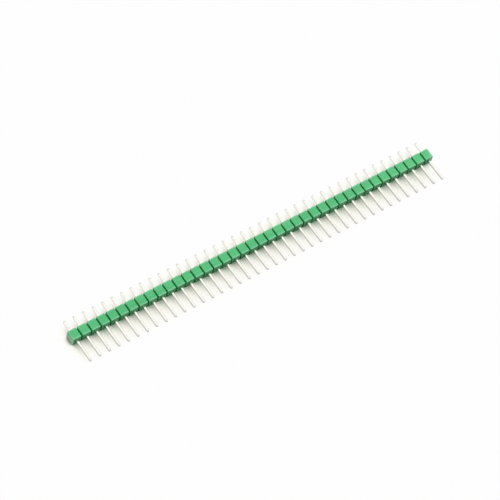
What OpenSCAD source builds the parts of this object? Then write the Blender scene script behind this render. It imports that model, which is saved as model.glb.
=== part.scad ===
// Breakaway pin header strip: a row of square pins pressed through one moulded housing.
// The strip lies on its side. X runs along the row, the long mating ends of the pins point
// to -Y, the short solder tails to +Y, and Z is up. The origin is at the middle of the
// footprint, on the surface that the strip lies on.

/* [Row] */
// Number of positions in the row
pin_count = 40; // [2:1:40]
// Distance between neighbouring pins
pitch = 2.54; // [2.2:0.02:3.6]

/* [Housing] */
// Depth of the housing along the pins
housing_depth = 2.54; // [1.8:0.02:5]
// Height of the housing as it lies
housing_height = 2.46; // [2.1:0.02:4]
// Bevel on the edges of each cell
edge_bevel = 0.05; // [0.02:0.01:0.16]

/* [Break-off slots] */
// Width of a slot at its mouth
slot_mouth = 0.46; // [0.36:0.02:0.7]
// Lean of each slot wall from the mouth to the middle of the housing
slot_draft = 0.03; // [0:0.01:0.12]
// Height of the web that joins neighbouring cells in the middle of the slot
web_height = 0.7; // [0.3:0.05:1.4]
// Depth of the web along the pins
web_depth = 1.2; // [0.8:0.05:1.6]

/* [Pins] */
// Width across the flats of a pin
pin_width = 0.64; // [0.4:0.02:0.8]
// Length of the mating end, from the housing's front face
mating_length = 5.84; // [3:0.02:12]
// Length of the solder tail, from the housing's back face
tail_length = 3.05; // [2:0.05:6]
// Length of the tapered tip at each end
tip_length = 0.4; // [0.2:0.05:1]
// Width of the flat at the end of a tip
tip_flat = 0.36; // [0.1:0.02:0.36]
// Bevel on the long edges of a pin
pin_bevel = 0.1; // [0.02:0.01:0.14]

/* [Fit of a pin in its hole] */
// Gap between a pin and each wall of its hole
hole_gap = 0.03; // [0.01:0.01:0.06]
// Lead-in bevel at both mouths of a hole
lead_in = 0.08; // [0.03:0.01:0.15]
// Length of the retaining barb that grips the side walls of the hole
barb_length = 0.5; // [0.2:0.05:1]
// Length of the ramp at each end of the barb
barb_ramp = 0.25; // [0.1:0.05:0.4]
// Height of the barb, less than the flat of the pin
barb_height = 0.3; // [0.1:0.02:0.3]

/* [Hidden] */
// Amount by which a cutting shape runs past the face that it cuts
overcut = 0.2;
pin_span = (pin_count - 1) * pitch;
cell_half = (pitch - slot_mouth) / 2;
hole_half = pin_width / 2 + hole_gap;
front_y = -housing_depth / 2;
back_y = housing_depth / 2;
axis_z = housing_height / 2;
// The housing's middle lies behind the middle of the footprint, because the mating ends are longer
housing_y = (mating_length - tail_length) / 2;

function pin_name(i) = str("pin_", i < 10 ? "0" : "", i);
function pin_x(i) = (i - 1) * pitch - pin_span / 2;

// Rectangle from low to high with bevelled corners
module bevelled_rectangle(low, high, bevel) {
    polygon([
        [low.x + bevel, low.y], [high.x - bevel, low.y],
        [high.x, low.y + bevel], [high.x, high.y - bevel],
        [high.x - bevel, high.y], [low.x + bevel, high.y],
        [low.x, high.y - bevel], [low.x, low.y + bevel]
    ]);
}

// Extrudes an outline drawn in X and Z along Y, centred
module along_y(length) {
    rotate([90, 0, 0]) linear_extrude(length, center = true) children();
}

// Extrudes an outline drawn in Y and Z along X, centred
module along_x(length) {
    rotate([90, 0, 90]) linear_extrude(length, center = true) children();
}

// Square bar along Y whose half width changes along it: rings is a list of [y, half width]
module square_bar(rings) {
    clear_width = 2 * max([for (ring = rings) ring[1]]) + overcut;
    right = [for (ring = rings) [ring[1], ring[0]]];
    left = [for (i = [len(rings) - 1:-1:0]) [-rings[i][1], rings[i][0]]];
    plan = concat(right, left);
    intersection() {
        linear_extrude(clear_width, center = true) polygon(plan);
        along_x(clear_width) polygon([for (point = plan) [point.y, point.x]]);
    }
}

// One cell of the housing, about the middle of its own hole. Its sides swell towards mid height,
// so that the slots are widest at their mouths.
module cell() {
    top_half = cell_half - edge_bevel;
    side_z = axis_z - edge_bevel;
    intersection() {
        along_y(housing_depth + overcut) polygon([
            [-top_half, -axis_z], [top_half, -axis_z],
            [cell_half, -side_z], [cell_half + slot_draft, 0], [cell_half, side_z],
            [top_half, axis_z], [-top_half, axis_z],
            [-cell_half, side_z], [-cell_half - slot_draft, 0], [-cell_half, -side_z]
        ]);
        along_x(2 * pitch) bevelled_rectangle([front_y, -axis_z], [back_y, axis_z], edge_bevel);
    }
}

// Square hole through a cell, with a lead-in at both faces
module pin_hole() {
    mouth_half = hole_half + lead_in + overcut;
    square_bar([
        [front_y - overcut, mouth_half], [front_y + lead_in, hole_half],
        [back_y - lead_in, hole_half], [back_y + overcut, mouth_half]
    ]);
}

// Moulded housing: cells in a row, joined by one slim web that runs through the middle of them all,
// with a square hole through each cell
module housing() {
    color("mediumseagreen") translate([0, housing_y, axis_z]) difference() {
        union() {
            for (i = [1:pin_count]) translate([pin_x(i), 0, 0]) cell();
            cube([pin_span, web_depth, web_height], center = true);
        }
        for (i = [1:pin_count]) translate([pin_x(i), 0, 0]) pin_hole();
    }
}

// Retaining barb: a flat lozenge through the pin that just meets both side walls of the hole.
// Its ramps run on inside the pin as deep as they stand out of it.
module barb() {
    core_half = pin_width / 2 - hole_gap;
    flat_y = barb_length / 2;
    core_y = flat_y + 2 * barb_ramp;
    linear_extrude(barb_height, center = true) polygon([
        [hole_half, -flat_y], [hole_half, flat_y],
        [core_half, core_y], [-core_half, core_y],
        [-hole_half, flat_y], [-hole_half, -flat_y],
        [-core_half, -core_y], [core_half, -core_y]
    ]);
}

// One pin of square wire, tapered at both ends
module pin(i) {
    tip_y = front_y - mating_length;
    tail_y = back_y + tail_length;
    half = pin_width / 2;
    color("silver") translate([pin_x(i), housing_y, axis_z]) union() {
        intersection() {
            square_bar([
                [tip_y, tip_flat / 2], [tip_y + tip_length, half],
                [tail_y - tip_length, half], [tail_y, tip_flat / 2]
            ]);
            translate([0, (tip_y + tail_y) / 2, 0]) along_y(tail_y - tip_y)
                bevelled_rectangle([-half, -half], [half, half], pin_bevel);
        }
        barb();
    }
}

housing();
for (i = [1:pin_count]) pin(i);
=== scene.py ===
import math

import bpy
from mathutils import Matrix, Vector


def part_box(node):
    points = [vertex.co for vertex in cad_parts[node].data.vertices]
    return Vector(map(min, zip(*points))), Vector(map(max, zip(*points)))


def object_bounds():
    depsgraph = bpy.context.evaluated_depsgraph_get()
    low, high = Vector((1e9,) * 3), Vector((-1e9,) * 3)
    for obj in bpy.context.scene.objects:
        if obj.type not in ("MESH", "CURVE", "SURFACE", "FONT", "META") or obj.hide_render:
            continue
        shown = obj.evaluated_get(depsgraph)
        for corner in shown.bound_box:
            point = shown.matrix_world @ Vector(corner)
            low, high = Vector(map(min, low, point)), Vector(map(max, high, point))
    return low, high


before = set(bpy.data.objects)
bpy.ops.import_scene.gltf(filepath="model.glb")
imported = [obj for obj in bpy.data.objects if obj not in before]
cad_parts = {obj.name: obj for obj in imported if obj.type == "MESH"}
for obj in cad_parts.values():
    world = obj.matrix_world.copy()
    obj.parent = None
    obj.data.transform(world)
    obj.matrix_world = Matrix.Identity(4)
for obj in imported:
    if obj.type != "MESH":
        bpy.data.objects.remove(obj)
cad_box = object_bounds()

MM = 0.001
WHITE = (1, 1, 1, 1)
scene = bpy.context.scene

# The camera looks down on the strip from the front left, leaning to one side
CAMERA_AIM = Vector((-2.075, 0.622, 1.23)) * MM
CAMERA_DISTANCE = 605.45 * MM
CAMERA_AZIMUTH = -48.8
CAMERA_ELEVATION = 57.63
CAMERA_ROLL = 16.89
CAMERA_LENS = 190.14
SENSOR_WIDTH = 36.0

# One large soft lamp above and behind to the right, in a white surround that is brighter on that side.
# What mirrors the surround sees it white, with a brighter patch where the lamp is
KEY_AZIMUTH = 125.0
KEY_ELEVATION = 58.0
KEY_DISTANCE = 600 * MM
KEY_SIZE = 650 * MM
KEY_POWER = 3.28
SURROUND_DARK = 0.08
SURROUND_BRIGHT = 0.5
MIRRORED_LAMP = 1.43
LAMP_EDGE_OUTER = math.cos(math.radians(42))
LAMP_EDGE_INNER = math.cos(math.radians(26))

# A weaker soft lamp low on the left, a little behind the end of the strip
FILL_AZIMUTH = -95.0
FILL_ELEVATION = 12.0
FILL_DISTANCE = 500 * MM
FILL_SIZE = 300 * MM
FILL_POWER = 0.85

# The floor is pale paper. For its own picture it takes this share of a white that turns to a painted
# shadow where the object closes it in, within this reach. It looks for the object on the right more than
# on the left, so that the painted shadow falls to the left
FLOOR_SIZE = 6.0
FLOOR_COLOR = (0.2, 0.2, 0.195, 1)
FLOOR_LIFT = 0.985
SHADOW_REACH = 4 * MM
SHADOW_AZIMUTH = 100.0
SHADOW_LEAN = 0.6
SHADOW_STOPS = (
    (0.215, (0, 0, 0, 1)),
    (0.375, (0.22, 0.31, 0.22, 1)),
    (0.475, (0.66, 0.7, 0.6, 1)),
    (0.555, (0.92, 0.905, 0.81, 1)),
    (0.635, (0.99, 0.975, 0.9, 1)),
    (0.755, WHITE),
)

# Rounding of the edges, and the angle above which an edge is rounded
HOUSING_ROUND = 0.02 * MM
PIN_ROUND = 0.03 * MM
ROUND_STEPS = 2
ROUND_ANGLE = math.radians(25)
FLAT_ANGLE = math.radians(0.5)
WELD_DISTANCE = 0.001 * MM

# Noise patterns have a size in millimetres, a detail, and the range of the noise that is used
SOFT_DETAIL = 2.0
PLAIN_DETAIL = 3.0
RICH_DETAIL = 4.0

# Green plastic: flow lines along the strip, dark specks, a grain in its gloss and a fine texture
PLASTIC_STOPS = (
    (0.35, (0.09, 0.46, 0.185, 1)),
    (0.65, (0.11, 0.53, 0.215, 1)),
)
PLASTIC_SPECULAR = 0.12
PLASTIC_ROUGHNESS = (0.3, 0.42)
FLOW_STRETCH = (6, 1, 1)
FLOW_SIZE = 1.6
FLOW_DEPTH = 0.01 * MM
SPECK_TINT = (0.87, 0.9, 0.88, 1)
SPECK_SIZE = 0.35
SPECK_RANGE = (0.55, 0.7)
GRAIN_SIZE = 0.12
GRAIN_RANGE = (0.3, 0.7)
TEXTURE_SIZE = 0.05
TEXTURE_DEPTH = 0.003 * MM

# Painted highlight on the edges: a paler band beside the long edges, and surfaces that lean between the
# axes, from the first to the second of these largest parts of their normal
EDGE_HIGHLIGHT_COLOR = (0.25, 0.62, 0.36, 1)
EDGE_BAND = 0.45 * MM
EDGE_LEAN = (0.98, 0.8)

# Paler plastic at both ends. It is less at the back and on top, and on the right it reaches further
# along the strip
PALE_END_COLOR = (0.6, 0.84, 0.68, 1)
PALE_END_LENGTH = 0.3 * MM
PALE_END_BACK = 0.3
PALE_END_TOP = 0.25
RIGHT_START = 0.9 * MM
RIGHT_FULL = 0.35 * MM
RIGHT_TOP_BAND = 0.4 * MM
PATCH_SIZE = 0.4
PATCH_RANGE = (0.35, 0.65)
PATCH_LEAST = 0.75

# Painted shade in the slots, a deeper green, from the first to the second of these shares of open
# surroundings
CREVICE_SHADE_TINT = (0.3, 1.02, 0.75, 1)
CREVICE_REACH = 0.6 * MM
CREVICE_OPENNESS = (0.75, 0.45)

# Tin plate: faint clouds, and fine lines along the drawn wire
TIN_STOPS = (
    (0.3, (0.68, 0.67, 0.61, 1)),
    (0.7, (0.75, 0.74, 0.68, 1)),
)
TIN_ROUGHNESS = (0.12, 0.24)
CLOUD_SIZE = 0.7
LINE_STRETCH = (1, 40, 1)
LINE_SIZE = 0.06
LINE_RANGE = (0.3, 0.7)
LINE_DEPTH = 0.002 * MM
STREAK_TINT = (0.88, 0.88, 0.89, 1)
STREAK_RANGE = (0.5, 0.7)

# Tints of the parts of a pin: painted shade on the flanks of the mating pins, deeper towards their ends,
# a painted lighter reflection on the flanks of the tails, a painted green reflection of the housing on
# the top and underside close to it, painted shade on the tapered tips, and the cut ends
FRONT_FLANK_SHADE_TINT = (0.89, 0.885, 0.905, 1)
TAIL_FLANK_REFLECTION_TINT = (1.18, 1.18, 1.25, 1)
FLANK_FACING = (0.3, 0.9)
TIP_FLANK_SHADE_TINT = (0.86, 0.86, 0.9, 1)
TIP_FLANK_SHADE_LENGTH = 2.5 * MM
ROOT_REFLECTION_TINT = (1.15, 1.35, 1.2, 1)
ROOT_LENGTH = 0.9 * MM
TIP_SHADE_TINT = (0.88, 0.88, 0.92, 1)
TIP_LENGTH = 0.4 * MM
CUT_TINT = (0.55, 0.55, 0.58, 1)
CUT_FACING = (0.6, 0.95)


def direction(azimuth, elevation):
    """Unit vector from the object towards a point at this azimuth and elevation, in degrees."""
    a = math.radians(azimuth)
    e = math.radians(elevation)
    return Vector((math.sin(a) * math.cos(e), -math.cos(a) * math.cos(e), math.sin(e)))


def look_along(obj, forward, roll=0.0):
    """Turns a camera or lamp so that it points along forward, rolled about that line by degrees."""
    obj.rotation_mode = "QUATERNION"
    turn = Matrix.Rotation(math.radians(roll), 4, "Z").to_quaternion()
    obj.rotation_quaternion = forward.to_track_quat("-Z", "Y") @ turn


def make_camera():
    data = bpy.data.cameras.new("camera")
    data.lens = CAMERA_LENS
    data.sensor_width = SENSOR_WIDTH
    camera = bpy.data.objects.new("camera", data)
    scene.collection.objects.link(camera)
    back = direction(CAMERA_AZIMUTH, CAMERA_ELEVATION)
    camera.location = CAMERA_AIM + back * CAMERA_DISTANCE
    look_along(camera, -back, CAMERA_ROLL)
    scene.camera = camera


def make_lamp(name, azimuth, elevation, distance, size, power):
    """A soft square lamp that points at the object and isn't seen itself."""
    data = bpy.data.lights.new(name, "AREA")
    data.shape = "SQUARE"
    data.size = size
    data.energy = power
    lamp = bpy.data.objects.new(name, data)
    lamp.visible_camera = False
    lamp.visible_glossy = False
    scene.collection.objects.link(lamp)
    back = direction(azimuth, elevation)
    lamp.location = back * distance
    look_along(lamp, -back)


def add(tree, kind, **values):
    """Adds a shader node of this kind, with these values set on its inputs."""
    node = tree.nodes.new("ShaderNode" + kind)
    for name, value in values.items():
        node.inputs[name].default_value = value
    return node


def math_node(tree, operation, first, second=0):
    """A math node on two outputs or numbers; returns its output."""
    node = add(tree, "Math")
    node.operation = operation
    for socket, value in zip(node.inputs, (first, second)):
        if isinstance(value, (int, float)):
            socket.default_value = value
        else:
            tree.links.new(value, socket)
    return node.outputs[0]


def vector_node(tree, operation, vector, constant=(0, 0, 0)):
    """A vector math node on an output and a constant vector; returns its outputs."""
    node = add(tree, "VectorMath")
    node.operation = operation
    tree.links.new(vector, node.inputs[0])
    node.inputs[1].default_value = constant
    return node.outputs


def map_range(tree, value, source, target=(0, 1)):
    """A value carried from one range to another and held at its ends; returns its output."""
    node = add(tree, "MapRange")
    names = ("From Min", "From Max", "To Min", "To Max")
    for name, number in zip(names, source + target):
        node.inputs[name].default_value = number
    tree.links.new(value, node.inputs["Value"])
    return node.outputs["Result"]


def mix_shaders(tree, share, first, second):
    """Two shader nodes mixed, the second as far as share, an output from 0 to 1, says."""
    node = add(tree, "MixShader")
    for socket, value in zip(node.inputs, (share, first.outputs[0], second.outputs[0])):
        tree.links.new(value, socket)
    return node.outputs[0]


def seen_rays(tree):
    """1 for rays that show the background: straight from the camera, mirrored or passed through."""
    rays = add(tree, "LightPath").outputs
    shown = math_node(tree, "MAXIMUM", rays["Is Camera Ray"], rays["Is Glossy Ray"])
    return math_node(tree, "MAXIMUM", shown, rays["Is Transmission Ray"])


def make_surround():
    world = bpy.data.worlds.new("surround")
    world.use_nodes = True
    scene.world = world
    tree = world.node_tree
    tree.nodes.clear()
    out = add(tree, "OutputWorld")
    place = add(tree, "TexCoord").outputs["Generated"]
    towards = vector_node(tree, "DOT_PRODUCT", place, direction(KEY_AZIMUTH, KEY_ELEVATION))["Value"]
    soft = add(tree, "Background", Color=WHITE)
    strength = map_range(tree, towards, (-1, 1), (SURROUND_DARK, SURROUND_BRIGHT))
    tree.links.new(strength, soft.inputs["Strength"])
    white = add(tree, "Background", Color=WHITE)
    strength = map_range(tree, towards, (LAMP_EDGE_OUTER, LAMP_EDGE_INNER), (1, MIRRORED_LAMP))
    tree.links.new(strength, white.inputs["Strength"])
    tree.links.new(mix_shaders(tree, seen_rays(tree), soft, white), out.inputs["Surface"])


def floor_paper():
    """Pale paper that shows as white, with a painted soft shadow round the object."""
    material = bpy.data.materials.new("floor")
    material.use_nodes = True
    tree = material.node_tree
    tree.nodes.clear()
    out = add(tree, "OutputMaterial")
    paper = add(tree, "BsdfDiffuse", Color=FLOOR_COLOR)
    upright = add(tree, "NewGeometry").outputs["Normal"]
    leaning = vector_node(tree, "ADD", upright, direction(SHADOW_AZIMUTH, 0) * SHADOW_LEAN)["Vector"]
    leaning = vector_node(tree, "NORMALIZE", leaning)["Vector"]
    openness = add(tree, "AmbientOcclusion", Distance=SHADOW_REACH)
    tree.links.new(leaning, openness.inputs["Normal"])
    lift = add(tree, "Emission", Strength=1.0)
    tree.links.new(ramp(tree, openness.outputs["AO"], SHADOW_STOPS), lift.inputs["Color"])
    share = math_node(tree, "MULTIPLY", seen_rays(tree), FLOOR_LIFT)
    tree.links.new(mix_shaders(tree, share, paper, lift), out.inputs["Surface"])
    return material


def make_floor():
    half = FLOOR_SIZE / 2
    corners = [(-half, -half, 0), (half, -half, 0), (half, half, 0), (-half, half, 0)]
    mesh = bpy.data.meshes.new("floor")
    mesh.from_pydata(corners, [], [(0, 1, 2, 3)])
    mesh.materials.append(floor_paper())
    floor = bpy.data.objects.new("floor", mesh)
    scene.collection.objects.link(floor)


def new_material(name):
    material = bpy.data.materials.new(name)
    material.use_nodes = True
    tree = material.node_tree
    return material, tree, tree.nodes["Principled BSDF"]


def millimetres(tree, stretch=(1, 1, 1)):
    """Object coordinates in millimetres, divided by stretch along each axis."""
    place = add(tree, "TexCoord").outputs["Object"]
    mapping = add(tree, "Mapping", Scale=[1 / MM / s for s in stretch])
    tree.links.new(place, mapping.inputs["Vector"])
    return mapping.outputs["Vector"]


def noise(tree, vector, size, detail=PLAIN_DETAIL):
    """Noise with features of about this size, in the units of the vector; returns its factor."""
    node = add(tree, "TexNoise", Scale=1 / size, Detail=detail)
    tree.links.new(vector, node.inputs["Vector"])
    return node.outputs["Fac"]


def ramp(tree, factor, stops):
    """Colours that follow a factor, from two or more stops of position and colour."""
    node = add(tree, "ValToRGB")
    elements = node.color_ramp.elements
    for _ in stops[2:]:
        elements.new(1.0)
    for element, (place, color) in zip(elements, stops):
        element.position = place
        element.color = color
    tree.links.new(factor, node.inputs["Fac"])
    return node.outputs["Color"]


def blend(tree, color, tint, share, how="MULTIPLY"):
    """A colour blended with a tint, as far as share, an output from 0 to 1, says."""
    node = add(tree, "Mix")
    node.data_type = "RGBA"
    node.blend_type = how
    node.inputs["B"].default_value = tint
    tree.links.new(share, node.inputs["Factor"])
    tree.links.new(color, node.inputs["A"])
    return node.outputs["Result"]


def bump(tree, height, depth, normal=None):
    """Bumps of this depth in metres over another bump's normal."""
    node = add(tree, "Bump", Strength=1.0, Distance=depth)
    tree.links.new(height, node.inputs["Height"])
    if normal:
        tree.links.new(normal, node.inputs["Normal"])
    return node.outputs["Normal"]


def axes(tree, vector):
    """The X, Y and Z outputs of a vector."""
    node = add(tree, "SeparateXYZ")
    tree.links.new(vector, node.inputs[0])
    return node.outputs


def position(tree):
    """Object coordinates in metres, as X, Y and Z outputs."""
    return axes(tree, add(tree, "TexCoord").outputs["Object"])


def facing(tree):
    """How squarely a surface faces along each axis, from 0 to 1, as X, Y and Z outputs."""
    normal = add(tree, "NewGeometry").outputs["Normal"]
    return axes(tree, vector_node(tree, "ABSOLUTE", normal)["Vector"])


def near_faces(tree, axis, box, depth):
    """0 inside a box, rising to 1 over this depth below its two faces across an axis."""
    low, high = (corner["XYZ".index(axis)] for corner in box)
    half = (high - low) / 2
    offset = math_node(tree, "SUBTRACT", position(tree)[axis], (low + high) / 2)
    distance = math_node(tree, "ABSOLUTE", offset)
    return map_range(tree, distance, (half - depth, half))


def highlighted_edges(tree, box):
    """1 on bevels and at the long edges of a box along X, where the painted highlight goes, and 0 on its
    faces.
    """
    sides = facing(tree)
    largest = math_node(tree, "MAXIMUM", sides["X"], sides["Y"])
    largest = math_node(tree, "MAXIMUM", largest, sides["Z"])
    bevels = map_range(tree, largest, EDGE_LEAN)
    front_back = near_faces(tree, "Y", box, EDGE_BAND)
    top_bottom = near_faces(tree, "Z", box, EDGE_BAND)
    return math_node(tree, "MAXIMUM", bevels, math_node(tree, "MULTIPLY", front_back, top_bottom))


def pale_ends(tree, box):
    """How pale the plastic is at both ends of a box along X, in patches."""
    low, high = box
    place = position(tree)
    forward = map_range(tree, place["Y"], (high.y, low.y), (PALE_END_BACK, 1))
    downward = map_range(tree, place["Z"], (high.z, (low.z + high.z) / 2), (PALE_END_TOP, 1))
    ends = near_faces(tree, "X", box, PALE_END_LENGTH)
    ends = math_node(tree, "MULTIPLY", ends, downward)
    below_top = map_range(tree, place["Z"], (high.z, high.z - RIGHT_TOP_BAND), (PALE_END_TOP, 1))
    right = map_range(tree, place["X"], (high.x - RIGHT_START, high.x - RIGHT_FULL))
    right = math_node(tree, "MULTIPLY", right, below_top)
    paleness = math_node(tree, "MAXIMUM", ends, right)
    paleness = math_node(tree, "MULTIPLY", paleness, forward)
    patches = noise(tree, millimetres(tree), PATCH_SIZE, RICH_DETAIL)
    return math_node(tree, "MULTIPLY", paleness, map_range(tree, patches, PATCH_RANGE, (PATCH_LEAST, 1)))


def crevice_shade(tree):
    """1 where the object closes itself in, where the painted shade goes, and 0 in the open."""
    openness = add(tree, "AmbientOcclusion", Distance=CREVICE_REACH)
    openness.only_local = True
    return map_range(tree, openness.outputs["AO"], CREVICE_OPENNESS)


def housing_plastic():
    """Moulded green plastic with flow lines, dark specks and a fine texture. It has a painted highlight
    on its edges and painted shade in its slots, and it is paler at both ends."""
    material, tree, bsdf = new_material("housing_plastic")
    bsdf.inputs["Specular IOR Level"].default_value = PLASTIC_SPECULAR
    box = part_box("housing")
    even = millimetres(tree)
    flow = noise(tree, millimetres(tree, FLOW_STRETCH), FLOW_SIZE, RICH_DETAIL)
    specks = noise(tree, even, SPECK_SIZE, SOFT_DETAIL)
    grain = noise(tree, even, GRAIN_SIZE)
    texture = noise(tree, even, TEXTURE_SIZE, SOFT_DETAIL)
    color = ramp(tree, flow, PLASTIC_STOPS)
    color = blend(tree, color, SPECK_TINT, map_range(tree, specks, SPECK_RANGE))
    # Painted highlight on the edges
    color = blend(tree, color, EDGE_HIGHLIGHT_COLOR, highlighted_edges(tree, box), "MIX")
    color = blend(tree, color, PALE_END_COLOR, pale_ends(tree, box), "MIX")
    # Painted shade in the slots and other crevices
    color = blend(tree, color, CREVICE_SHADE_TINT, crevice_shade(tree))
    tree.links.new(color, bsdf.inputs["Base Color"])
    tree.links.new(map_range(tree, grain, GRAIN_RANGE, PLASTIC_ROUGHNESS), bsdf.inputs["Roughness"])
    waves = bump(tree, flow, FLOW_DEPTH)
    tree.links.new(bump(tree, texture, TEXTURE_DEPTH, waves), bsdf.inputs["Normal"])
    return material


def pin_tints(tree):
    """Pairs of a tint and an output that says how far it covers the pins. All but the cut ends are
    painted shade or painted reflections.
    """
    low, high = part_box("housing")
    sides = facing(tree)
    flank = map_range(tree, sides["X"], FLANK_FACING)
    tail = map_range(tree, position(tree)["Y"], (low.y, high.y))
    tail_flank = math_node(tree, "MULTIPLY", flank, tail)
    front_flank = math_node(tree, "SUBTRACT", flank, tail_flank)
    # Painted shade on the flanks of the mating pins, deeper towards their ends
    tip_flank_shade = math_node(tree, "MULTIPLY", near_faces(tree, "Y", cad_box, TIP_FLANK_SHADE_LENGTH), front_flank)
    # Painted green reflection of the housing on the pins' top and underside close to it
    margin = Vector((0, ROOT_LENGTH, 0))
    away = near_faces(tree, "Y", (low - margin, high + margin), ROOT_LENGTH)
    root = math_node(tree, "SUBTRACT", sides["Z"], away)
    root = math_node(tree, "MAXIMUM", root, 0)
    return (
        (FRONT_FLANK_SHADE_TINT, front_flank),
        (TAIL_FLANK_REFLECTION_TINT, tail_flank),
        (TIP_FLANK_SHADE_TINT, tip_flank_shade),
        (ROOT_REFLECTION_TINT, root),
        # Painted shade on the tapered tips
        (TIP_SHADE_TINT, near_faces(tree, "Y", cad_box, TIP_LENGTH)),
        (CUT_TINT, map_range(tree, sides["Y"], CUT_FACING)),
    )


def pin_plating():
    """Bright tin plate with fine lines along the drawn wire and faint cloudy patches, and painted shade
    and reflections on parts of the pins.
    """
    material, tree, bsdf = new_material("pin_plating")
    bsdf.inputs["Metallic"].default_value = 1.0
    clouds = noise(tree, millimetres(tree), CLOUD_SIZE, RICH_DETAIL)
    lines = noise(tree, millimetres(tree, LINE_STRETCH), LINE_SIZE, SOFT_DETAIL)
    color = ramp(tree, clouds, TIN_STOPS)
    color = blend(tree, color, STREAK_TINT, map_range(tree, lines, STREAK_RANGE))
    for tint, share in pin_tints(tree):
        color = blend(tree, color, tint, share)
    tree.links.new(color, bsdf.inputs["Base Color"])
    tree.links.new(map_range(tree, lines, LINE_RANGE, TIN_ROUGHNESS), bsdf.inputs["Roughness"])
    tree.links.new(bump(tree, lines, LINE_DEPTH), bsdf.inputs["Normal"])
    return material


def round_edges(node, width):
    """Joins the faces of a node at their edges and rounds the sharp ones."""
    weld = node.modifiers.new("weld", "WELD")
    weld.merge_threshold = WELD_DISTANCE
    flat = node.modifiers.new("flat_faces", "DECIMATE")
    flat.decimate_type = "DISSOLVE"
    flat.angle_limit = FLAT_ANGLE
    edges = node.modifiers.new("round_edges", "BEVEL")
    edges.width = width
    edges.segments = ROUND_STEPS
    edges.limit_method = "ANGLE"
    edges.angle_limit = ROUND_ANGLE
    edges.harden_normals = True


make_camera()
make_lamp("key_lamp", KEY_AZIMUTH, KEY_ELEVATION, KEY_DISTANCE, KEY_SIZE, KEY_POWER)
make_lamp("fill_lamp", FILL_AZIMUTH, FILL_ELEVATION, FILL_DISTANCE, FILL_SIZE, FILL_POWER)
make_surround()
make_floor()
plastic = housing_plastic()
plating = pin_plating()
for name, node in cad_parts.items():
    node.data.materials.clear()
    if name == "housing":
        node.data.materials.append(plastic)
        round_edges(node, HOUSING_ROUND)
    else:
        node.data.materials.append(plating)
        round_edges(node, PIN_ROUND)

scene.view_settings.view_transform = "Standard"
